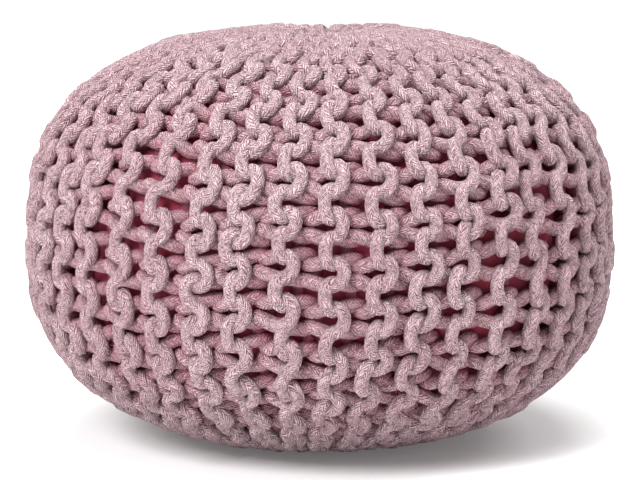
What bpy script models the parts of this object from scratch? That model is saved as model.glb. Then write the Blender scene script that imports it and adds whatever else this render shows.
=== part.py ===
"""Round pouf: a chunky cord knit, drawn together at the crown and under the base, over a filled bag.

Metres, +Z up. The origin is on the floor, under the middle of the pouf.
"""

import math

import bpy

# Overall size, over the crests of the knitted ridges
DIAMETER = 0.500
HEIGHT = 0.350
EQUATOR_HEIGHT = 0.170

# How square the outline is above and below the equator: 2 is an ellipse
CROWN_POWER = 2.65
BASE_POWER = 2.35
# How far the loose filling would hang below the floor that flattens it
BASE_FLATTENING = 0.008

# The knit: two cords thick, in ridges that run from the crown to the base
CORD_DIAMETER = 0.0105
COVER_THICKNESS = 2 * CORD_DIAMETER
RIDGES = 42
CHANNEL_DEPTH = 0.75 * CORD_DIAMETER
POINTS_PER_RIDGE = 3

# Where the knit is gathered: a dimple round a small eye
EYE_RADIUS = 0.009
DIMPLE_RADIUS = 0.048
CROWN_DIMPLE = 0.014
BASE_DIMPLE = 0.010
BAG_EXTRA_DIMPLE = 0.006

# The channels fade out over these radii, inner then outer
CROWN_FADE = (0.018, 0.080)
BASE_FADE = (0.075, 0.125)

# The bag, clear of the cover all round
BAG_CLEARANCE = 0.0004

# Rows of points down each surface
OUTER_ROWS = 21
INNER_ROWS = 10
DIMPLE_ROWS = 3
CURVE_SAMPLES = 4000
# Points this near the axis become one
AXIS_MERGE = 0.00005

COVER_COLOUR = (0.640, 0.400, 0.455, 1.0)
BAG_COLOUR = (0.360, 0.095, 0.150, 1.0)
CLOTH_ROUGHNESS = 0.92


def clear_scene():
    """Leaves an empty scene."""
    for obj in list(bpy.data.objects):
        bpy.data.objects.remove(obj)


def new_collection(name):
    """A collection that shows in the scene."""
    collection = bpy.data.collections.new(name)
    bpy.context.scene.collection.children.link(collection)
    return collection


def cloth_material(name, colour):
    """A matt woven finish of one colour."""
    material = bpy.data.materials.new(name)
    material.use_nodes = True
    material.diffuse_color = colour
    shader = material.node_tree.nodes["Principled BSDF"]
    shader.inputs["Base Color"].default_value = colour
    shader.inputs["Roughness"].default_value = CLOTH_ROUGHNESS
    shader.inputs["Metallic"].default_value = 0.0
    return material


def smooth_step(value, low, high):
    """0 below low, 1 above high, and an even slope between."""
    share = min(1.0, max(0.0, (value - low) / (high - low)))
    return share * share * (3 - 2 * share)


def dimple(radius, depth):
    """How far the gather pulls the surface in at this radius."""
    if radius >= DIMPLE_RADIUS:
        return 0.0
    return depth * (1 - (radius / DIMPLE_RADIUS) ** 2) ** 2


def even_points(curve, count):
    """count points of the curve, from its first to its last, at equal distances along it."""
    travelled = [0.0]
    for before, after in zip(curve, curve[1:]):
        travelled.append(travelled[-1] + math.dist(before, after))
    points = []
    index = 0
    for step in range(count):
        target = travelled[-1] * step / (count - 1)
        while index < len(curve) - 2 and travelled[index + 1] < target:
            index += 1
        share = (target - travelled[index]) / (travelled[index + 1] - travelled[index])
        points.append(tuple(a + (b - a) * share for a, b in zip(curve[index], curve[index + 1])))
    return points


def side_curve(inset):
    """The outline in (radius, height) from the dimple's edge on the crown to the edge of the flat base."""
    reach = DIAMETER / 2 - inset
    rise = (HEIGHT - EQUATOR_HEIGHT - inset) / crown_share(DIMPLE_RADIUS / reach)
    floor = inset
    drop = EQUATOR_HEIGHT - inset + BASE_FLATTENING
    curve = []
    for sample in range(CURVE_SAMPLES + 1):
        angle = math.pi / 2 - math.pi * sample / CURVE_SAMPLES
        power, extent = (CROWN_POWER, rise) if angle >= 0 else (BASE_POWER, drop)
        radius = reach * abs(math.cos(angle)) ** (2 / power)
        height = EQUATOR_HEIGHT + math.copysign(extent * abs(math.sin(angle)) ** (2 / power), angle)
        if (angle > 0 and radius < DIMPLE_RADIUS) or (angle < 0 and height < floor):
            continue
        curve.append((radius, height))
    curve.append((curve[-1][0], floor))
    return curve


def crown_share(share):
    """The height of the crown's curve at this share of its reach, as a share of its full height."""
    return (1 - share**CROWN_POWER) ** (1 / CROWN_POWER)


def surface_profile(inset, side_rows, crown_depth, base_depth):
    """Points (radius, height) of one surface, from the eye in the crown down to the eye in the base."""
    side = even_points(side_curve(inset), side_rows)
    top, bottom = side[0][1], side[-1][1]
    radii = [
        EYE_RADIUS + (DIMPLE_RADIUS - EYE_RADIUS) * step / DIMPLE_ROWS
        for step in range(DIMPLE_ROWS)
    ]
    crown = [(radius, top - dimple(radius, crown_depth)) for radius in radii]
    base = [(radius, bottom + dimple(radius, base_depth)) for radius in reversed(radii)]
    flat = [(BASE_FADE[0], bottom), (DIMPLE_RADIUS, bottom)]
    return crown + side + flat + base


def spin(name, profile, steps, closed):
    """A profile turned once about the Z axis, as a mesh object in the scene."""
    mesh = bpy.data.meshes.new(name + " profile")
    edges = [(i, i + 1) for i in range(len(profile) - 1)]
    if closed:
        edges.append((len(profile) - 1, 0))
    mesh.from_pydata([(radius, 0.0, height) for radius, height in profile], edges, [])
    turned = bpy.data.objects.new(name + " profile", mesh)
    bpy.context.scene.collection.objects.link(turned)
    screw = turned.modifiers.new("Turn", "SCREW")
    screw.axis = "Z"
    screw.angle = 2 * math.pi
    screw.steps = steps
    screw.render_steps = steps
    screw.use_merge_vertices = not closed
    screw.merge_threshold = AXIS_MERGE
    graph = bpy.context.evaluated_depsgraph_get()
    solid = bpy.data.meshes.new_from_object(turned.evaluated_get(graph))
    bpy.data.objects.remove(turned)
    return solid


def profile_normals(profile):
    """The outward direction at each point of an outline that runs down its outer side."""
    normals = []
    for index in range(len(profile)):
        before = profile[max(index - 1, 0)]
        after = profile[min(index + 1, len(profile) - 1)]
        along = (after[0] - before[0], after[1] - before[1])
        length = math.hypot(*along)
        normals.append((-along[1] / length, along[0] / length))
    return normals


def inside_of(profile, clearance):
    """The outline that lies this far inside another one, closed at the axis."""
    moved = [
        (radius - across * clearance, height - up * clearance)
        for (radius, height), (across, up) in zip(profile, profile_normals(profile))
    ]
    return [(0.0, moved[0][1])] + moved + [(0.0, moved[-1][1])]


def channel_depth(radius, height):
    """How deep the channel between two ridges is at this place on the cover."""
    low, high = CROWN_FADE if height > EQUATOR_HEIGHT else BASE_FADE
    return CHANNEL_DEPTH * smooth_step(radius, low, high)


def press_channels(mesh, outer, points_per_step):
    """Moves the outer points between two ridges inwards. The turned points come one step after another."""
    normals = profile_normals(outer)
    for vertex in mesh.vertices:
        step, row = divmod(vertex.index, points_per_step)
        if row >= len(outer) or step % POINTS_PER_RIDGE:
            continue
        x, y, height = vertex.co
        radius = math.hypot(x, y)
        depth = channel_depth(radius, height)
        shrink = 1 - normals[row][0] * depth / radius
        vertex.co = (x * shrink, y * shrink, max(0.0, height - normals[row][1] * depth))


def finish(name, mesh, material, collection):
    """Puts the mesh in the scene as a named piece, shaded smooth."""
    mesh.name = name
    mesh.materials.clear()
    mesh.materials.append(material)
    mesh.shade_smooth()
    piece = bpy.data.objects.new(name, mesh)
    collection.objects.link(piece)
    return piece


def cover_inside():
    """The outline of the cover's inner face, which the filled bag presses against."""
    return surface_profile(
        COVER_THICKNESS,
        INNER_ROWS,
        CROWN_DIMPLE + BAG_EXTRA_DIMPLE,
        BASE_DIMPLE + BAG_EXTRA_DIMPLE,
    )


def knitted_cover(collection):
    """The knit: a thick shell with its ridges raised, open only at the two gathered eyes."""
    outer = surface_profile(0.0, OUTER_ROWS, CROWN_DIMPLE, BASE_DIMPLE)
    inner = cover_inside()
    steps = RIDGES * POINTS_PER_RIDGE
    mesh = spin("knitted_cover", outer + inner[::-1], steps, closed=True)
    press_channels(mesh, outer, len(outer) + len(inner))
    return finish("knitted_cover", mesh, cloth_material("Cord", COVER_COLOUR), collection)


def inner_bag(collection):
    """The filled bag that shows through the knit: one solid that fits the cover's inside."""
    profile = inside_of(cover_inside(), BAG_CLEARANCE)
    mesh = spin("inner_bag", profile, RIDGES, closed=False)
    return finish("inner_bag", mesh, cloth_material("Bag cloth", BAG_COLOUR), collection)


def main():
    clear_scene()
    collection = new_collection("Round knitted pouf")
    knitted_cover(collection)
    inner_bag(collection)


main()
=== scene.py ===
"""Round knitted pouf: a chunky cord knit over a filled bag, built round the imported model.

Metres, +Z up. The pouf stands on z = 0, and the front of the photograph faces -Y.
"""

import math

import bpy
import numpy as np
from bpy.props import FloatProperty, FloatVectorProperty, IntProperty, PointerProperty
from bpy.types import Operator, Panel, PropertyGroup
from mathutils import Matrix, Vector


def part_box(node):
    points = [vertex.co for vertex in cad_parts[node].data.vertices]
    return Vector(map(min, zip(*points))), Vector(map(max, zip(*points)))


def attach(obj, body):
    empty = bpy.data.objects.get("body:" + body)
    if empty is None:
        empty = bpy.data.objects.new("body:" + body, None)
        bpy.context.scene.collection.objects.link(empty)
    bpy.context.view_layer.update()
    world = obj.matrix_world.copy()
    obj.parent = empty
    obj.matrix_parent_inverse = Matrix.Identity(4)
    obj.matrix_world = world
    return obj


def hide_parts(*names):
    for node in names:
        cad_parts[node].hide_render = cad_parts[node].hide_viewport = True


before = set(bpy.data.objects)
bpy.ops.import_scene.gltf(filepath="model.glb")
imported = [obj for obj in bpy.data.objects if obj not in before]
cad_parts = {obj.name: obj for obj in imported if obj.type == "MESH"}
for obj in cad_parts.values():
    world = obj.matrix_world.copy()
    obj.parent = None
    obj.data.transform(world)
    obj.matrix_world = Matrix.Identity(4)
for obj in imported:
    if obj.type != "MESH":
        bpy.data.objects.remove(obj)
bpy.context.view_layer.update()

bl_info = {
    "name": "Round knitted pouf",
    "version": (1, 0, 0),
    "blender": (4, 5, 0),
    "location": "3D View > Sidebar > Pouf",
    "description": "Builds a round pouf knitted from chunky cord, its filled bag and a plain stage",
    "category": "Object",
}

COVER_LOW, COVER_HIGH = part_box("knitted_cover")
OUTER_RADIUS = (COVER_HIGH.x - COVER_LOW.x) / 2
HEIGHT = COVER_HIGH.z

# The outline: how square it is above and below the equator, where 2 is an ellipse
EQUATOR_HEIGHT = 0.170
CROWN_POWER = 2.65
BASE_POWER = 2.50
# How far the base's curve would pass below the floor that flattens it
BASE_FLATTENING = 0.003
# The gathers at the crown and the base: a dimple round a small eye
DIMPLE_RADIUS = 0.048
CROWN_DIMPLE = 0.014
BASE_DIMPLE = 0.010
EYE_RADIUS = 0.003
# How many points of the outline are worked out, how far apart it is read, and over how many it is smoothed
OUTLINE_SAMPLES = 4001
OUTLINE_STEP = 0.001
OUTLINE_SMOOTHING = 13

# The knit's driving sizes, where the fabric is widest
RIDGES = 42
STITCHES = 19
CORD_DIAMETER = 0.0110
# One stitch: how far its loop reaches sideways, how far it bulges along the row, how far its legs spread
# along the row, and how deep it is. Of two values, the first is a knit row's and the second a purl row's.
LOOP_REACH = 0.0157
LOOP_BULGE = (0.0063, 0.0055)
LOOP_SPREAD = (0.00155, 0.0)
LOOP_DEPTH = 0.0092
# How high the cord lies at these phases, from a stitch's back loop (0) to its front loop, in millimetres,
# and how many cosine waves the curve through those heights is made of
DEPTH_PHASES = (0.0, 0.5, 0.94, 1.3, 1.6, 1.9, 2.2, 2.6, math.pi)
KNIT_HEIGHTS = (-8.8, -6.6, -1.6, 1.2, 1.8, 2.8, 5.2, 7.8, 8.2)
PURL_HEIGHTS = (-8.8, -6.6, -2.2, -0.2, 0.8, 3.4, 6.6, 8.9, 9.1)
DEPTH_WAVES = 6
# How much flatter a ridge's left side is than its right side, and how far its hooks lean
RIDGE_FLATTENING = 0.0014
HOOK_SLANT = 0.0022
# How much fuller the soft cord is in a stitch's legs
LEG_FULLNESS = 0.08
# The cord's share of its thickness at the eyes, and the shares of the widest radius between which it grows
EYE_THICKNESS = 0.86
THICKNESS_REACH = (0.10, 0.35)
# How near the floor the cord's middle may come, in cord diameters: its underside is flattened there
FLOOR_REST = 0.42
# Sideways sizes shrink with this power of the radius, and the relief to this share at the crown
CROWDING = 0.8
CROWN_RELIEF = 0.60
CROWN_REACH = (0.050, 0.160)
# Where the ridges crowd round an eye, some sink behind the rest by this many cord diameters: every second
# one at the outer radii, and at the inner radii all but each sixth
SINK_DEPTH = 0.7
OUTER_SINK = (0.042, 0.078)
INNER_SINK = (0.016, 0.036)
LAST_RIDGES = 6
# How far the ridges lean to the left as they run down, in each unit of length
RIDGE_TWIST = 0.045
# The seam that joins the strip into a tube, at the back: its turn and its width in radians
SEAM_TURN = 3.11
SEAM_WIDTH = 0.07
SEAM_DEPTH = 0.008
# Unevenness of a hand-knitted fabric: slow drifts, then each ridge's and each stitch's shift, in metres
SIDEWAYS_DRIFT = 0.0022
LENGTHWAYS_DRIFT = 0.0032
DEPTH_DRIFT = 0.0005
RIDGE_SHIFT = 0.0010
STITCH_SHIFT = 0.0018
# How much the sizes of one stitch vary, as shares of those sizes
REACH_SPREAD = 0.10
BULGE_SPREAD = 0.13
DEPTH_SPREAD = 0.08
SLANT_SPREAD = 0.40
GAUGE_SPREAD = 0.035
# How far apart the seeds of two settings lie, for rows and for ridges, and the seed of the bag's creases
ROW_SEEDS = 1000
RIDGE_SEEDS = 500
CREASE_SEED = 40
# Steps of one stitch as it is worked out and as it is kept. The cord has 4 + 2 x resolution sides.
CURVE_STEPS = 64
STITCH_STEPS = 32
CORD_RESOLUTION = 2
# Points of a cord's cap this near its end ring become one
CAP_MERGE = 0.00001
# The cover is kept in this many meshes of neighbouring rows
SECTIONS = 6

# The bag: how far inside the cover's outer face it starts, and its points down and round
BAG_INSET = 0.0250
BAG_ROWS = 60
BAG_STEPS = 168
POLE_MERGE = 0.00005
# How far the knit's back ridges press into it, and how far beside each front ridge they lie
BAG_PRESS = 0.0035
BACK_RIDGE = 0.0088
# How deep it creases, how many times closer the creases come than the knit's drifts, and where both fade out
BAG_CREASE = 0.0008
CREASES_ROUND = 3
CREASES_UP = 4
BAG_FADE = (0.05, 0.14)
# The filling: its pressure, the share that the cloth grows by, how many frames it swells, how far a point
# may move, and how low it may come
FILL_PRESSURE = 4.0
CLOTH_GROWTH = 0.05
FILL_FRAMES = 16
FILL_CAP = 0.0030
BAG_FLOOR = 0.0215

# The cord's colours, its painted highlights and its painted shade: between which two values of its noise
# each of these comes in or goes out
FIBRES = (0.36, 0.66)
HIGHLIGHT_STROKES = (0.34, 0.45)
DARK_STROKES = (0.54, 0.60)
SPECKS = (0.55, 0.61)
DYED_PATCHES = (0.38, 0.65)
GAP_SHADE_DEPTHS = (0.38, 0.56)
# The shares of a loop's depth over which the painted shade deep in the knit fades into the cord's outer
# colour
DEEP_SHADE_RANGE = (-0.40, 0.98)
# The heights of a strand, and of a thread of the bag's cloth, between which the painted shade of the gap
# ends
STRAND_GAP = (0.22, 0.72)
THREAD_GAP = (0.2, 0.5)
# How closely the strokes' noise runs across the strands and along them, and how far each column moves it
STROKE_RATES = (2.3, 0.9, 13.7)
# Depths of the bump on the cord and on the bag's cloth
CORD_BUMP = 0.0023
CLOTH_BUMP = 0.002

# The floor: a round plain that curves up at its rim
FLOOR_RADIUS = 7.5
FLOOR_RISE = 3.0
FLOOR_RISE_STEPS = 8
FLOOR_SIDES = 96
# It glows a little, less near the pouf, so that it is as pale as the ground in the photograph
FLOOR_GLOW = 0.55
GLOW_REACH = (0.2, 1.4)
GLOW_NEAR = (0.16, 0.16, 0.16, 1.0)
FLOOR_CLOUDS = (0.86, 0.86, 0.86, 1.0)
WHITE = (1.0, 1.0, 1.0, 1.0)

# The soft boxes: name, place, width, and the setting that holds the power
LIGHTS = (
    ("Key light", (-1.45, -2.0, 1.85), 1.3, "key_power"),
    ("Rim light", (1.9, 0.1, 2.1), 1.2, "rim_power"),
    ("Top light", (0.1, -0.4, 2.6), 1.8, "top_power"),
)
ROOM_LIGHT = 0.37

# The camera: its sensor's width in mm, and how far below the pouf's middle it aims
SENSOR_WIDTH = 36.0
AIM_DROP = 0.0077


def smooth_step(value, low, high):
    """0 below low, 1 above high, and an even slope between."""
    share = np.clip((value - low) / (high - low), 0.0, 1.0)
    return share * share * (3 - 2 * share)


def smoothed(values, width):
    """A weighted running mean over this many values to each side, which keeps both ends where they are."""
    padded = np.concatenate(
        [2 * values[0] - values[width:0:-1], values, 2 * values[-1] - values[-2 : -width - 2 : -1]]
    )
    kernel = np.hanning(2 * width + 1)
    return np.convolve(padded, kernel / kernel.sum(), "same")[width:-width]


def distances(points):
    """The distance along a path to each of its points."""
    steps = np.linalg.norm(np.diff(points, axis=0), axis=1)
    return np.concatenate([[0.0], np.cumsum(steps)])


def spaced(points, count):
    """count points at equal distances along a path, and its length. A fourth column is carried along."""
    along = distances(points[:, :3])
    places = np.linspace(0.0, along[-1], count)
    return np.stack([np.interp(places, along, column) for column in points.T], axis=1), along[-1]


def outline(inset):
    """Points (radius, height) this far inside the cover's outer face, from the crown's eye to the base's."""
    angle = np.linspace(math.pi / 2, -math.pi / 2, OUTLINE_SAMPLES)
    upper = angle >= 0
    power = np.where(upper, CROWN_POWER, BASE_POWER)
    rise = HEIGHT - EQUATOR_HEIGHT
    extent = np.where(upper, rise, EQUATOR_HEIGHT + BASE_FLATTENING)
    radius = OUTER_RADIUS * np.abs(np.cos(angle)) ** (2 / power)
    height = EQUATOR_HEIGHT + np.sign(angle) * extent * np.abs(np.sin(angle)) ** (2 / power)
    height = np.maximum(height, 0.0)
    pull = np.clip(1 - (radius / DIMPLE_RADIUS) ** 2, 0.0, 1.0) ** 2
    height += np.where(upper, -CROWN_DIMPLE, BASE_DIMPLE) * pull
    points = np.stack([radius, height], 1)
    points, _ = spaced(points, int(distances(points)[-1] / OUTLINE_STEP))
    points = np.stack([smoothed(column, OUTLINE_SMOOTHING) for column in points.T], 1)
    points = points - outward(points) * inset
    return points[points[:, 0] > EYE_RADIUS]


def outward(points):
    """The outward direction at each point of an outline that runs down its outer side."""
    along = np.gradient(points, axis=0)
    along /= np.linalg.norm(along, axis=1)[:, None]
    return np.stack([-along[:, 1], along[:, 0]], 1)


class Meridian:
    """The middle of the knit from pole to pole, read by the distance along it."""

    def __init__(self, inset):
        self.points = outline(inset)
        self.normals = outward(self.points)
        self.along = distances(self.points)
        self.length = self.along[-1]
        self.widest = self.points[:, 0].max()

    def at(self, distance):
        """Radius, height and outward direction at each distance."""
        columns = (*self.points.T, *self.normals.T)
        return [np.interp(distance, self.along, column) for column in columns]


class Unevenness:
    """Slow, seeded drifts of a hand-knitted fabric over the turn and the distance from the crown."""

    WAVES = 9
    # How often a wave comes round the pouf, and its radians in each metre down it
    WAVES_ROUND = (1, 12)
    WAVE_RATES = (8, 45)

    def __init__(self, seed):
        random = np.random.default_rng(seed)
        self.counts = random.integers(*self.WAVES_ROUND, self.WAVES)
        self.rates = random.uniform(*self.WAVE_RATES, self.WAVES)
        self.phases = random.uniform(0, 2 * math.pi, self.WAVES)

    def __call__(self, turn, distance):
        """The drift at each turn and distance, mostly between -1 and 1."""
        total = 0.0
        for count, rate, phase in zip(self.counts, self.rates, self.phases):
            total = total + np.sin(count * turn + rate * distance + phase)
        return total / math.sqrt(self.WAVES)


def row_path(settings, meridian, drifts, number):
    """Points (x, y, z, thickness) of one row of stitches, from the crown to the base, and its length."""
    ridge, purl = divmod(number, 2)
    random = np.random.default_rng(settings.seed * ROW_SEEDS + number)
    shift = np.random.default_rng(settings.seed * RIDGE_SEEDS + ridge).normal(0, RIDGE_SHIFT)
    phase = np.linspace(0, 2 * math.pi * settings.stitches, settings.stitches * CURVE_STEPS + 1)
    knots = np.arange(settings.stitches + 2) * 2 * math.pi
    loose = settings.unevenness
    wobbles = [loose * np.interp(phase, knots, random.normal(0, 1, len(knots))) for _ in range(5)]
    wider, rounder, further, deeper, leaning = wobbles

    # Where the cord lies along the row, and how far it reaches to the sides
    turn = 2 * math.pi * number / (2 * settings.ridges)
    distance = phase / (2 * math.pi) * meridian.length / settings.stitches
    twist = RIDGE_TWIST * (meridian.length / 2 - distance) / meridian.widest
    sideways = (drifts[0](turn, distance) * SIDEWAYS_DRIFT + shift) * loose
    lengthways = drifts[1](turn, distance) * LENGTHWAYS_DRIFT * loose + STITCH_SHIFT * further
    bulge = LOOP_BULGE[purl] * (1 + BULGE_SPREAD * rounder)
    reach = LOOP_REACH * (1 + REACH_SPREAD * wider)
    distance = distance + bulge * np.sin(2 * phase) + LOOP_SPREAD[purl] * np.sin(phase) + lengthways
    sideways = sideways - reach * np.cos(phase) + RIDGE_FLATTENING * np.cos(2 * phase)
    if not purl:
        sideways = sideways + HOOK_SLANT * (1 + SLANT_SPREAD * leaning) * np.sin(phase)

    # How far it stands out from the middle of the knit
    radius, height, out_radius, out_height = meridian.at(np.clip(distance, 0, meridian.length))
    outwards = loop_depth(phase + math.pi * purl, PURL_HEIGHTS if purl else KNIT_HEIGHTS)
    outwards = outwards * (1 + DEPTH_SPREAD * deeper) + drifts[2](turn, distance) * DEPTH_DRIFT * loose
    relief = CROWN_RELIEF + (1 - CROWN_RELIEF) * smooth_step(radius, *CROWN_REACH)
    outwards = outwards * relief + LOOP_DEPTH * (1 - relief)
    outwards = outwards - sinking(settings, ridge, radius)
    outwards = outwards - SEAM_DEPTH * np.exp(-(((turn - SEAM_TURN) / SEAM_WIDTH) ** 2))

    crowd = radius / meridian.widest
    turn = turn + twist + sideways * crowd**CROWDING / np.maximum(radius, EYE_RADIUS)
    radius = radius + out_radius * outwards
    height = height + out_height * outwards
    thickness = EYE_THICKNESS + (1 - EYE_THICKNESS) * smooth_step(crowd, *THICKNESS_REACH)
    thickness = thickness * (1 + LEG_FULLNESS * np.sin(phase) ** 2) * (1 + GAUGE_SPREAD * leaning)
    height = np.maximum(height, FLOOR_REST * settings.cord_diameter * thickness)
    points = np.stack([radius * np.sin(turn), -radius * np.cos(turn), height, thickness], 1)
    return spaced(points, settings.stitches * STITCH_STEPS + 1)


def loop_depth(phase, heights):
    """How far outwards the cord lies at each phase of a stitch: a smooth curve near the given heights."""
    orders = np.arange(DEPTH_WAVES)
    known = np.cos(np.outer(DEPTH_PHASES, orders))
    shares, *_ = np.linalg.lstsq(known, np.array(heights) / 1000, rcond=None)
    return np.cos(np.outer(phase, orders)) @ shares


def sinking(settings, ridge, radius):
    """How far a ridge drops behind its neighbours where they crowd round an eye."""
    drop = SINK_DEPTH * settings.cord_diameter
    if ridge % 2:
        return drop * (1 - smooth_step(radius, *OUTER_SINK))
    if ridge % LAST_RIDGES:
        return drop * (1 - smooth_step(radius, *INNER_SINK))
    return np.zeros_like(radius)


def read_points(mesh):
    """A mesh's points as rows of x, y and z."""
    places = np.empty(len(mesh.vertices) * 3, np.float32)
    mesh.vertices.foreach_get("co", places)
    return places.reshape(-1, 3)


def write_points(mesh, places):
    """Moves a mesh's points to these rows of x, y and z."""
    mesh.vertices.foreach_set("co", places.astype(np.float32).ravel())
    mesh.update()


def select_only(piece):
    """Makes one object the only selected one, and the active one."""
    bpy.ops.object.select_all(action="DESELECT")
    piece.select_set(True)
    bpy.context.view_layer.objects.active = piece


def exposure_of(places, meridian):
    """How far each point stands out from the middle of the knit, as a share of a loop's depth."""
    radius = np.hypot(places[:, 0], places[:, 1])
    rise = places[:, 2] - EQUATOR_HEIGHT
    middle = meridian.points - (0.0, EQUATOR_HEIGHT)
    reach = np.linalg.norm(middle, axis=1)
    facing = (meridian.normals * middle).sum(1) / reach
    order = -np.arctan2(middle[:, 1], middle[:, 0])
    place = -np.arctan2(rise, radius)
    outwards = (np.hypot(radius, rise) - np.interp(place, order, reach)) * np.interp(place, order, facing)
    return outwards / LOOP_DEPTH


def cords_from_paths(name, settings, meridian, paths):
    """One mesh of round cords along these paths, flat at the floor, with a UV map and its exposure."""
    curve = bpy.data.curves.new(name, "CURVE")
    curve.dimensions = "3D"
    curve.bevel_depth = settings.cord_diameter / 2
    curve.bevel_resolution = CORD_RESOLUTION
    curve.use_fill_caps = True
    for points, _ in paths:
        spline = curve.splines.new("POLY")
        spline.points.add(len(points) - 1)
        # A spline's points have a fourth number, a weight of 1, and their thickness apart
        weighted = np.ones((len(points), 4))
        weighted[:, :3] = points[:, :3]
        spline.points.foreach_set("co", weighted.ravel())
        spline.points.foreach_set("radius", points[:, 3].copy())
    piece = bpy.data.objects.new(name, curve)
    bpy.context.scene.collection.objects.link(piece)
    select_only(piece)
    bpy.ops.object.convert(target="MESH")
    piece = bpy.context.object
    piece.name = name

    # The map runs once round the cord, and along it in cord diameters, by the length of the first path
    uv = piece.data.uv_layers[0].data
    mapped = np.empty(len(uv) * 2, np.float32)
    uv.foreach_get("uv", mapped)
    mapped[0::2] *= paths[0][1] / settings.cord_diameter
    uv.foreach_set("uv", mapped)

    places = read_points(piece.data)
    places[:, 2] = np.maximum(places[:, 2], 0.0)
    write_points(piece.data, places)
    # The exposure tells the material where to paint shade deep in the knit
    attribute = piece.data.attributes.new("exposure", "FLOAT", "POINT")
    attribute.data.foreach_set("value", exposure_of(places, meridian).astype(np.float32))
    bpy.ops.object.mode_set(mode="EDIT")
    bpy.ops.mesh.select_all(action="SELECT")
    bpy.ops.mesh.remove_doubles(threshold=CAP_MERGE)
    bpy.ops.object.mode_set(mode="OBJECT")
    bpy.ops.object.shade_smooth()
    return piece


def new_group(name, inputs, outputs):
    """An empty shader group with these sockets, each (name, kind, default), and its two end nodes."""
    group = bpy.data.node_groups.new(name, "ShaderNodeTree")
    for label, kind, default in inputs:
        socket = group.interface.new_socket(label, in_out="INPUT", socket_type=kind)
        if default is not None:
            socket.default_value = default
    for label, kind in outputs:
        group.interface.new_socket(label, in_out="OUTPUT", socket_type=kind)
    return group, group.nodes.new("NodeGroupInput"), group.nodes.new("NodeGroupOutput")


def put(tree, socket, value):
    """Links another node's socket into this one, or sets a plain value on it."""
    if isinstance(value, bpy.types.NodeSocket):
        tree.links.new(value, socket)
    else:
        socket.default_value = value


def maths(tree, operation, *values):
    """One Math node's result."""
    node = tree.nodes.new("ShaderNodeMath")
    node.operation = operation
    for socket, value in zip(node.inputs, values):
        put(tree, socket, value)
    return node.outputs[0]


def mixed(tree, share, low, high):
    """One colour turning into another. A Mix node's colours are its inputs 6 and 7 and its output 2."""
    node = tree.nodes.new("ShaderNodeMix")
    node.data_type = "RGBA"
    put(tree, node.inputs[0], share)
    put(tree, node.inputs[6], low)
    put(tree, node.inputs[7], high)
    return node.outputs[2]


def ranged(tree, value, low, high, to_low=0.0, to_high=1.0):
    """A value carried from one range to another, held at its ends."""
    node = tree.nodes.new("ShaderNodeMapRange")
    for socket, number in zip(node.inputs, (value, low, high, to_low, to_high)):
        put(tree, socket, number)
    return node.outputs[0]


def noise(tree, place, scale, detail=2.0, roughness=0.5):
    """A noise texture's value."""
    node = tree.nodes.new("ShaderNodeTexNoise")
    put(tree, node.inputs["Vector"], place)
    put(tree, node.inputs["Scale"], scale)
    put(tree, node.inputs["Detail"], detail)
    put(tree, node.inputs["Roughness"], roughness)
    return node.outputs["Fac"]


def stretched(tree, place, scale):
    """The same coordinates, drawn out by a factor for each axis."""
    node = tree.nodes.new("ShaderNodeVectorMath")
    node.operation = "MULTIPLY"
    put(tree, node.inputs[0], place)
    node.inputs[1].default_value = scale
    return node.outputs[0]


def cord_space_group():
    """Places on a cord as points of a straight round bar, so that noise has no seam along it."""
    group, start, end = new_group(
        "Straightened cord", [("UV", "NodeSocketVector", None)], [("Place", "NodeSocketVector")]
    )
    split = group.nodes.new("ShaderNodeSeparateXYZ")
    group.links.new(start.outputs["UV"], split.inputs[0])
    angle = maths(group, "MULTIPLY", split.outputs["Y"], 2 * math.pi)
    join = group.nodes.new("ShaderNodeCombineXYZ")
    group.links.new(split.outputs["X"], join.inputs["X"])
    put(group, join.inputs["Y"], maths(group, "MULTIPLY", maths(group, "COSINE", angle), 0.5))
    put(group, join.inputs["Z"], maths(group, "MULTIPLY", maths(group, "SINE", angle), 0.5))
    group.links.new(join.outputs[0], end.inputs["Place"])
    return group


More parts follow.
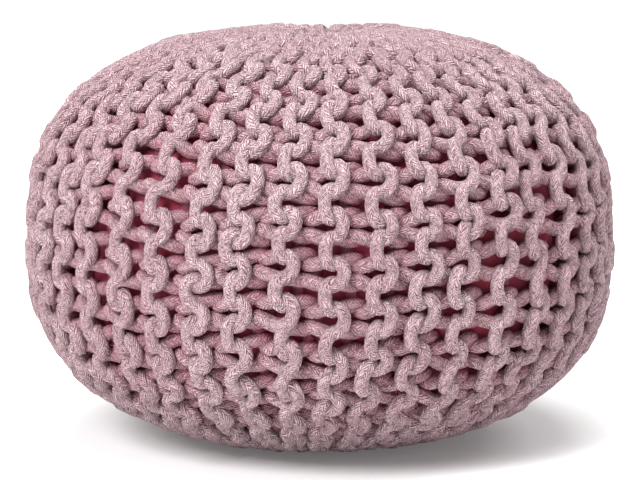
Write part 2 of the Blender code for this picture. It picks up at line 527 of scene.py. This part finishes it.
def braid_group():
    """Slanting strands plaited round a cord, a mask of the gaps between them where shade is painted, and
    long strokes along them.
    """
    group, start, end = new_group(
        "Braided strands",
        [
            ("UV", "NodeSocketVector", None),
            ("Plaits", "NodeSocketFloat", 4.0),
            ("Strands", "NodeSocketFloat", 4.9),
            ("Slant", "NodeSocketFloat", 1.8),
        ],
        [("Height", "NodeSocketFloat"), ("Gap", "NodeSocketFloat"), ("Strokes", "NodeSocketFloat")],
    )
    split = group.nodes.new("ShaderNodeSeparateXYZ")
    group.links.new(start.outputs["UV"], split.inputs[0])

    # Each plait is two columns of strands that slant towards each other, half a strand apart
    around = maths(group, "MULTIPLY", split.outputs["Y"], start.outputs["Plaits"])
    zigzag = maths(group, "MULTIPLY", maths(group, "PINGPONG", around, 0.5), 2.0)
    doubled = maths(group, "MULTIPLY", around, 2.0)
    odd = maths(group, "FLOORED_MODULO", maths(group, "FLOOR", doubled), 2.0)
    along = maths(group, "MULTIPLY", split.outputs["X"], start.outputs["Strands"])
    slanted = maths(group, "MULTIPLY_ADD", zigzag, start.outputs["Slant"], along)
    phase = maths(group, "MULTIPLY_ADD", odd, 0.5, slanted)

    # A strand is round across its width, and lower at the edges of its column
    across = maths(group, "SINE", maths(group, "MULTIPLY", maths(group, "FRACT", phase), math.pi))
    column = maths(group, "SINE", maths(group, "MULTIPLY", maths(group, "FRACT", doubled), math.pi))
    rounded = maths(group, "POWER", maths(group, "MAXIMUM", across, 0.0), 0.6)
    edge = maths(group, "POWER", maths(group, "MAXIMUM", column, 0.0), 0.45)
    height = maths(group, "MULTIPLY", rounded, maths(group, "MULTIPLY_ADD", edge, 0.6, 0.4))
    group.links.new(height, end.inputs["Height"])
    put(group, end.inputs["Gap"], ranged(group, height, *STRAND_GAP, 1.0, 0.0))

    # The strokes are noise drawn out along the strands, another in each column
    strand = group.nodes.new("ShaderNodeCombineXYZ")
    column_number = maths(group, "FLOOR", doubled)
    for socket, value, rate in zip(strand.inputs, (phase, zigzag, column_number), STROKE_RATES):
        put(group, socket, maths(group, "MULTIPLY", value, rate))
    strokes = noise(group, strand.outputs[0], scale=1.0, detail=3.0, roughness=0.6)
    group.links.new(strokes, end.inputs["Strokes"])
    return group


def weave_group():
    """Plain-woven cloth: threads over and under each other, and a mask of the holes between them where shade
    is painted.
    """
    group, start, end = new_group(
        "Plain weave",
        [("Place", "NodeSocketVector", None), ("Threads", "NodeSocketFloat", 850.0)],
        [("Height", "NodeSocketFloat"), ("Gap", "NodeSocketFloat")],
    )
    split = group.nodes.new("ShaderNodeSeparateXYZ")
    group.links.new(start.outputs["Place"], split.inputs[0])
    waves = []
    for axis in ("X", "Y", "Z"):
        scaled = maths(group, "MULTIPLY", split.outputs[axis], start.outputs["Threads"])
        waves.append(maths(group, "SINE", maths(group, "MULTIPLY", scaled, math.pi)))
    product = maths(group, "MULTIPLY", waves[2], maths(group, "ADD", waves[0], waves[1]))
    height = ranged(group, product, -1.4, 1.4)
    group.links.new(height, end.inputs["Height"])
    put(group, end.inputs["Gap"], ranged(group, height, *THREAD_GAP, 1.0, 0.0))
    return group


def new_material(name):
    """A node material with its tree, its shader and a node of texture coordinates."""
    material = bpy.data.materials.new(name)
    material.use_nodes = True
    tree = material.node_tree
    shader = tree.nodes["Principled BSDF"]
    coordinates = tree.nodes.new("ShaderNodeTexCoord")
    return material, tree, shader, coordinates


def grouped(tree, group, **values):
    """A group placed in a material with its own values."""
    node = tree.nodes.new("ShaderNodeGroup")
    node.node_tree = group
    for name, value in values.items():
        put(tree, node.inputs[name], value)
    return node


def bumped(tree, shader, relief, strength, distance):
    """Gives a shader this relief."""
    bump = tree.nodes.new("ShaderNodeBump")
    bump.inputs["Strength"].default_value = strength
    bump.inputs["Distance"].default_value = distance
    put(tree, bump.inputs["Height"], relief)
    put(tree, shader.inputs["Normal"], bump.outputs["Normal"])


def cord_material(colours, groups):
    """Braided cotton cord: dusty pink strands with pale strokes painted as highlights and dark strokes,
    painted shade between the strands, and redder painted shade deep in the knit.
    """
    material, tree, shader, coordinates = new_material("Braided cotton cord")
    uv = coordinates.outputs["UV"]
    place = grouped(tree, groups["cord_space"], UV=uv).outputs["Place"]

    # The strands wander a little along the cord and round it
    wandering = tree.nodes.new("ShaderNodeVectorMath")
    wandering.operation = "MULTIPLY_ADD"
    put(tree, wandering.inputs[0], noise(tree, place, scale=1.2))
    wandering.inputs[1].default_value = (0.55, 0.12, 0.0)
    put(tree, wandering.inputs[2], uv)
    braid = grouped(tree, groups["braid"], UV=wandering.outputs[0], Plaits=4.0, Strands=4.9, Slant=1.8)
    strokes = braid.outputs["Strokes"]
    fibres = noise(tree, stretched(tree, place, (3.0, 14.0, 14.0)), scale=1.8, detail=3.0, roughness=0.65)
    grain = noise(tree, place, scale=11.0, roughness=0.7)
    depths = noise(tree, place, scale=2.6, roughness=0.6)
    patches = noise(tree, coordinates.outputs["Object"], scale=9.0)

    # Pale fibres, then pale strokes painted as highlights on the raised fibres, then patches that took more
    # dye
    fibred = mixed(tree, ranged(tree, fibres, *FIBRES), colours.cord, colours.cord_light)
    pale = mixed(tree, ranged(tree, strokes, *HIGHLIGHT_STROKES, 0.9, 0.0), fibred, colours.cord_highlight)
    toned = mixed(tree, ranged(tree, patches, *DYED_PATCHES, 0.0, 0.28), pale, colours.cord_deep)

    # Painted shade: deep in the knit the cord is painted darker and redder, for the shade there and the
    # light that the rose cloth and the cords beside it reflect
    exposure = tree.nodes.new("ShaderNodeAttribute")
    exposure.attribute_name = "exposure"
    deep_shade = ranged(tree, exposure.outputs["Fac"], *DEEP_SHADE_RANGE, 1.0, 0.0)
    deep_shaded = mixed(tree, deep_shade, toned, colours.cord_deep_shade)

    # Painted shade between the strands, unevenly deep, and then the dark strokes and specks
    gap = maths(tree, "MULTIPLY", braid.outputs["Gap"], ranged(tree, depths, *GAP_SHADE_DEPTHS, 0.30, 1.0))
    shaded = mixed(tree, gap, deep_shaded, colours.cord_gap_shade)
    dark = mixed(tree, ranged(tree, strokes, *DARK_STROKES, 0.0, 0.88), shaded, colours.fleck)
    flecked = mixed(tree, ranged(tree, grain, *SPECKS, 0.0, 0.82), dark, colours.fleck)
    put(tree, shader.inputs["Base Color"], flecked)
    put(tree, shader.inputs["Roughness"], ranged(tree, fibres, 0.3, 0.7, 0.82, 0.98))
    shader.inputs["Sheen Weight"].default_value = 0.06
    shader.inputs["Sheen Roughness"].default_value = 0.45
    shader.inputs["Specular IOR Level"].default_value = 0.25
    relief = maths(tree, "MULTIPLY_ADD", fibres, 0.5, braid.outputs["Height"])
    relief = maths(tree, "MULTIPLY_ADD", grain, 0.25, relief)
    relief = maths(tree, "MULTIPLY_ADD", strokes, -0.9, relief)
    bumped(tree, shader, relief, 1.0, CORD_BUMP)
    return material


def bag_material(colours, groups):
    """Plain-woven cotton, deep rose, with fine creases, and painted shade in the creases and between the
    threads.
    """
    material, tree, shader, coordinates = new_material("Woven bag cloth")
    place = coordinates.outputs["Object"]
    weave = grouped(tree, groups["weave"], Place=place, Threads=850.0)
    creases = noise(tree, place, scale=34.0, detail=4.0, roughness=0.6)
    # Painted shade: darker in the creases, and between the threads
    toned = mixed(tree, ranged(tree, creases, 0.3, 0.7), colours.bag_crease_shade, colours.bag)
    shaded = mixed(tree, maths(tree, "MULTIPLY", weave.outputs["Gap"], 0.5), toned, colours.bag_crease_shade)
    put(tree, shader.inputs["Base Color"], shaded)
    put(tree, shader.inputs["Roughness"], ranged(tree, creases, 0.3, 0.7, 0.8, 0.95))
    shader.inputs["Sheen Weight"].default_value = 0.1
    relief = maths(tree, "MULTIPLY_ADD", weave.outputs["Height"], 0.15, creases)
    bumped(tree, shader, relief, 0.7, CLOTH_BUMP)
    return material


def stage_material(colours):
    """Matt pale floor, faintly cloudy, that glows more the further it lies from the pouf."""
    material, tree, shader, coordinates = new_material("Pale floor")
    clouds = noise(tree, coordinates.outputs["Object"], scale=0.8)
    put(tree, shader.inputs["Base Color"], mixed(tree, clouds, colours.floor, FLOOR_CLOUDS))
    shader.inputs["Roughness"].default_value = 0.9
    reach = tree.nodes.new("ShaderNodeVectorMath")
    reach.operation = "LENGTH"
    put(tree, reach.inputs[0], coordinates.outputs["Object"])
    glow = ranged(tree, reach.outputs["Value"], *GLOW_REACH)
    put(tree, shader.inputs["Emission Color"], mixed(tree, glow, GLOW_NEAR, WHITE))
    shader.inputs["Emission Strength"].default_value = FLOOR_GLOW
    return material


def colour_property(name, description, default):
    """A colour setting of one material."""
    return FloatVectorProperty(
        name=name, description=description, default=default, size=4, min=0, max=1, subtype="COLOR"
    )


def power_property(name, description, default):
    """The power of one light."""
    return FloatProperty(name=name, description=description, default=default, min=0, unit="POWER")


class PoufKnitSettings(PropertyGroup):
    """The knit's cord, its stitches and their unevenness."""

    cord_diameter: FloatProperty(
        name="Cord diameter",
        description="Thickness of the cord",
        default=CORD_DIAMETER,
        min=0.004,
        max=0.02,
        unit="LENGTH",
    )
    ridges: IntProperty(name="Ridges", description="Ridges round the pouf", default=RIDGES, min=12, max=80)
    stitches: IntProperty(
        name="Stitches", description="Stitches from the crown to the base", default=STITCHES, min=8, max=40
    )
    unevenness: FloatProperty(
        name="Unevenness",
        description="How much the stitches differ from each other",
        default=1.0,
        min=0,
        max=2,
        subtype="FACTOR",
    )
    seed: IntProperty(name="Seed", description="Picks another unevenness", default=7, min=0, max=900)


class PoufColours(PropertyGroup):
    """The colours of the cord, the bag and the floor."""

    cord: colour_property("Cord", "Main colour of the cord", (0.60, 0.405, 0.440, 1.0))
    cord_light: colour_property("Cord, fibres", "Pale fibres on the cord", (0.77, 0.610, 0.638, 1.0))
    # Painted highlight: the pale strokes on the raised fibres
    cord_highlight: colour_property("Cord, pale strokes", "The palest fibres", (0.80, 0.65, 0.685, 1.0))
    cord_deep: colour_property("Cord, deep", "Patches that took more dye", (0.49, 0.245, 0.29, 1.0))
    # Painted shade deep in the knit, reddened for the light that the rose cloth reflects
    cord_deep_shade: colour_property("Cord, inner", "The cord deep in the knit", (0.46, 0.060, 0.115, 1.0))
    # Painted shade between the cord's strands
    cord_gap_shade: colour_property("Cord, gaps", "Between the cord's strands", (0.21, 0.048, 0.070, 1.0))
    fleck: colour_property("Flecks", "Small dark flecks in the cotton", (0.165, 0.075, 0.092, 1.0))
    bag: colour_property("Bag", "Main colour of the bag cloth", (0.50, 0.045, 0.092, 1.0))
    # Painted shade in the bag's creases and between its threads
    bag_crease_shade: colour_property("Bag, creases", "The bag's creases", (0.27, 0.022, 0.048, 1.0))
    floor: colour_property("Floor", "The plain floor", (0.90, 0.90, 0.90, 1.0))


class PoufStageSettings(PropertyGroup):
    """The camera and the lights."""

    elevation: FloatProperty(
        name="Elevation",
        description="How far above the level the camera looks from",
        default=math.radians(8.0),
        subtype="ANGLE",
    )
    distance: FloatProperty(
        name="Distance", description="From the camera to the pouf", default=2.5, min=1, unit="LENGTH"
    )
    lens: FloatProperty(name="Lens", description="Focal length in mm", default=165.5, min=20)
    key_power: power_property("Key", "Power of the main light, at the front left", 112.0)
    rim_power: power_property("Rim", "Power of the light at the right", 22.0)
    top_power: power_property("Top", "Power of the light above", 80.0)


class POUF_OT_bag(Operator):
    """Makes the filled bag that shows between the cords"""

    bl_idname = "pouf.bag"
    bl_label = "Filled bag"

    def execute(self, context):
        settings = context.scene.pouf_knit
        groups = {"weave": weave_group()}
        piece = filled_bag(settings)
        piece.data.materials.append(bag_material(context.scene.pouf_colours, groups))
        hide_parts("inner_bag")
        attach(piece, "root")
        return {"FINISHED"}


class POUF_OT_knit(Operator):
    """Knits the cover from cord, one row of stitches after another"""

    bl_idname = "pouf.knit"
    bl_label = "Knitted cover"

    def execute(self, context):
        settings = context.scene.pouf_knit
        groups = {"braid": braid_group(), "cord_space": cord_space_group()}
        material = cord_material(context.scene.pouf_colours, groups)
        meridian = Meridian(LOOP_DEPTH + settings.cord_diameter / 2)
        drifts = [Unevenness(settings.seed + index) for index in range(3)]
        rows = 2 * settings.ridges
        for section in range(SECTIONS):
            numbers = range(section * rows // SECTIONS, (section + 1) * rows // SECTIONS)
            paths = [row_path(settings, meridian, drifts, number) for number in numbers]
            piece = cords_from_paths(f"knit_section_{section + 1}", settings, meridian, paths)
            piece.data.materials.append(material)
            if section == 0:
                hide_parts("knitted_cover")
            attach(piece, "root")
        return {"FINISHED"}


class POUF_OT_stage(Operator):
    """Adds the floor, the lights and the camera"""

    bl_idname = "pouf.stage"
    bl_label = "Stage"

    def execute(self, context):
        stage = context.scene.pouf_stage
        floor = pale_floor()
        floor.data.materials.append(stage_material(context.scene.pouf_colours))
        for name, place, size, power in LIGHTS:
            soft_light(name, place, size, getattr(stage, power))
        world = bpy.data.worlds.new("Studio")
        world.use_nodes = True
        background = world.node_tree.nodes["Background"]
        background.inputs["Color"].default_value = WHITE
        background.inputs["Strength"].default_value = ROOM_LIGHT
        context.scene.world = world
        context.scene.view_settings.view_transform = "Standard"
        photo_camera(stage)
        return {"FINISHED"}


def filled_bag(settings):
    """The bag: a turned outline, closed at both poles, pressed in by the knit's back ridges, then filled."""
    points, _ = spaced(outline(BAG_INSET), BAG_ROWS)
    points = np.concatenate([[[0.0, points[0, 1]]], points, [[0.0, points[-1, 1]]]])
    mesh = bpy.data.meshes.new("filled_bag")
    edges = [(index, index + 1) for index in range(len(points) - 1)]
    mesh.from_pydata([(radius, 0.0, height) for radius, height in points], edges, [])
    piece = bpy.data.objects.new("filled_bag", mesh)
    bpy.context.scene.collection.objects.link(piece)
    select_only(piece)
    screw = piece.modifiers.new("Turn", "SCREW")
    screw.steps = BAG_STEPS
    screw.render_steps = BAG_STEPS
    screw.use_merge_vertices = True
    screw.merge_threshold = POLE_MERGE
    bpy.ops.object.modifier_apply(modifier=screw.name)
    bpy.ops.object.mode_set(mode="EDIT")
    bpy.ops.mesh.select_all(action="SELECT")
    bpy.ops.mesh.normals_make_consistent(inside=False)
    bpy.ops.object.mode_set(mode="OBJECT")
    press_ridges(piece.data, settings)
    fill_with_pressure(piece)
    finer = piece.modifiers.new("Finer", "SUBSURF")
    finer.levels = 1
    finer.render_levels = 1
    bpy.ops.object.modifier_apply(modifier=finer.name)
    bpy.ops.object.shade_smooth()
    return piece


def press_ridges(mesh, settings):
    """Presses the bag in where the knit's back ridges lie on it, and creases it a little."""
    places = read_points(mesh)
    radius = np.hypot(places[:, 0], places[:, 1])
    turn = np.arctan2(places[:, 0], -places[:, 1])
    widest = radius.max()
    twist = RIDGE_TWIST * (places[:, 2] - HEIGHT / 2) / widest
    ridge = np.cos(settings.ridges * (turn - twist + BACK_RIDGE / widest))
    creases = Unevenness(settings.seed + CREASE_SEED)
    crease = creases(turn * CREASES_ROUND, places[:, 2] * CREASES_UP)
    depth = BAG_PRESS * (1 + ridge) / 2 + BAG_CREASE * crease
    depth = depth * smooth_step(radius, *BAG_FADE)
    inward = (0.0, 0.0, EQUATOR_HEIGHT) - places
    inward /= np.linalg.norm(inward, axis=1)[:, None]
    write_points(mesh, places + inward * depth[:, None])


def fill_with_pressure(piece):
    """Lets the cloth swell under its filling, with no point moving further than the cap."""
    before = read_points(piece.data)
    scene = bpy.context.scene
    cloth = piece.modifiers.new("Filling", "CLOTH")
    cloth.settings.use_pressure = True
    cloth.settings.uniform_pressure_force = FILL_PRESSURE
    cloth.settings.shrink_min = -CLOTH_GROWTH
    cloth.settings.effector_weights.gravity = 0.0
    cloth.point_cache.frame_start = 1
    cloth.point_cache.frame_end = FILL_FRAMES
    for number in range(1, FILL_FRAMES + 1):
        scene.frame_set(number)
    graph = bpy.context.evaluated_depsgraph_get()
    swollen = read_points(piece.evaluated_get(graph).data)
    piece.modifiers.remove(cloth)
    scene.frame_set(1)
    moved = swollen - before
    distance = np.linalg.norm(moved, axis=1)[:, None]
    places = before + moved * FILL_CAP / np.maximum(distance, FILL_CAP)
    places[:, 2] = np.maximum(places[:, 2], BAG_FLOOR)
    write_points(piece.data, places)


def pale_floor():
    """A round floor that curves up far behind whatever the camera sees."""
    bpy.ops.object.select_all(action="DESELECT")
    bpy.ops.mesh.primitive_circle_add(vertices=FLOOR_SIDES, radius=FLOOR_RADIUS, fill_type="NGON")
    floor = bpy.context.object
    floor.name = "floor"
    bpy.ops.object.mode_set(mode="EDIT")
    bpy.ops.mesh.select_all(action="DESELECT")
    bpy.ops.mesh.select_mode(type="EDGE")
    bpy.ops.object.mode_set(mode="OBJECT")
    for edge in floor.data.edges:
        edge.select = True
    bpy.ops.object.mode_set(mode="EDIT")
    radius, height = FLOOR_RADIUS, 0.0
    for step in range(1, FLOOR_RISE_STEPS + 1):
        angle = math.pi / 2 * step / FLOOR_RISE_STEPS
        wider = FLOOR_RADIUS + FLOOR_RISE * math.sin(angle)
        higher = FLOOR_RISE * (1 - math.cos(angle))
        bpy.ops.mesh.extrude_edges_move(TRANSFORM_OT_translate={"value": (0, 0, higher - height)})
        scale = wider / radius
        bpy.ops.transform.resize(value=(scale, scale, 1))
        radius, height = wider, higher
    bpy.ops.object.mode_set(mode="OBJECT")
    bpy.ops.object.shade_smooth()
    return floor


def soft_light(name, place, size, power):
    """A square soft box that faces the pouf."""
    light = bpy.data.lights.new(name, "AREA")
    light.energy = power
    light.size = size
    holder = bpy.data.objects.new(name, light)
    bpy.context.scene.collection.objects.link(holder)
    holder.location = place
    aim = Vector((0, 0, HEIGHT / 2)) - Vector(place)
    holder.rotation_euler = aim.to_track_quat("-Z", "Y").to_euler()


def photo_camera(stage):
    """The photograph's view: from the front, a little above the level."""
    data = bpy.data.cameras.new("Photo camera")
    data.lens = stage.lens
    data.sensor_width = SENSOR_WIDTH
    camera = bpy.data.objects.new("Photo camera", data)
    bpy.context.scene.collection.objects.link(camera)
    aim = Vector((0.0, 0.0, HEIGHT / 2 - AIM_DROP))
    back = Vector((0.0, -math.cos(stage.elevation), math.sin(stage.elevation)))
    camera.location = aim + back * stage.distance
    camera.rotation_euler = (-back).to_track_quat("-Z", "Y").to_euler()
    bpy.context.scene.camera = camera


class POUF_PT_panel(Panel):
    """Lists the pouf's settings and the operators that build it"""

    bl_idname = "POUF_PT_panel"
    bl_label = "Round knitted pouf"
    bl_space_type = "VIEW_3D"
    bl_region_type = "UI"
    bl_category = "Pouf"

    def draw(self, context):
        scene = context.scene
        for settings in (scene.pouf_knit, scene.pouf_colours, scene.pouf_stage):
            box = self.layout.box()
            for name in settings.__annotations__:
                box.prop(settings, name)
        for operator in (POUF_OT_bag, POUF_OT_knit, POUF_OT_stage):
            self.layout.operator(operator.bl_idname)


CLASSES = (
    PoufKnitSettings,
    PoufColours,
    PoufStageSettings,
    POUF_OT_bag,
    POUF_OT_knit,
    POUF_OT_stage,
    POUF_PT_panel,
)


def register():
    """Registers the classes and puts their settings on the scene."""
    for item in CLASSES:
        bpy.utils.register_class(item)
    bpy.types.Scene.pouf_knit = PointerProperty(type=PoufKnitSettings)
    bpy.types.Scene.pouf_colours = PointerProperty(type=PoufColours)
    bpy.types.Scene.pouf_stage = PointerProperty(type=PoufStageSettings)


def unregister():
    """Takes the settings and the classes away again."""
    del bpy.types.Scene.pouf_stage
    del bpy.types.Scene.pouf_colours
    del bpy.types.Scene.pouf_knit
    for item in reversed(CLASSES):
        bpy.utils.unregister_class(item)


def main():
    register()
    bpy.ops.pouf.bag()
    bpy.ops.pouf.knit()
    bpy.ops.pouf.stage()


if __name__ == "__main__":
    main()
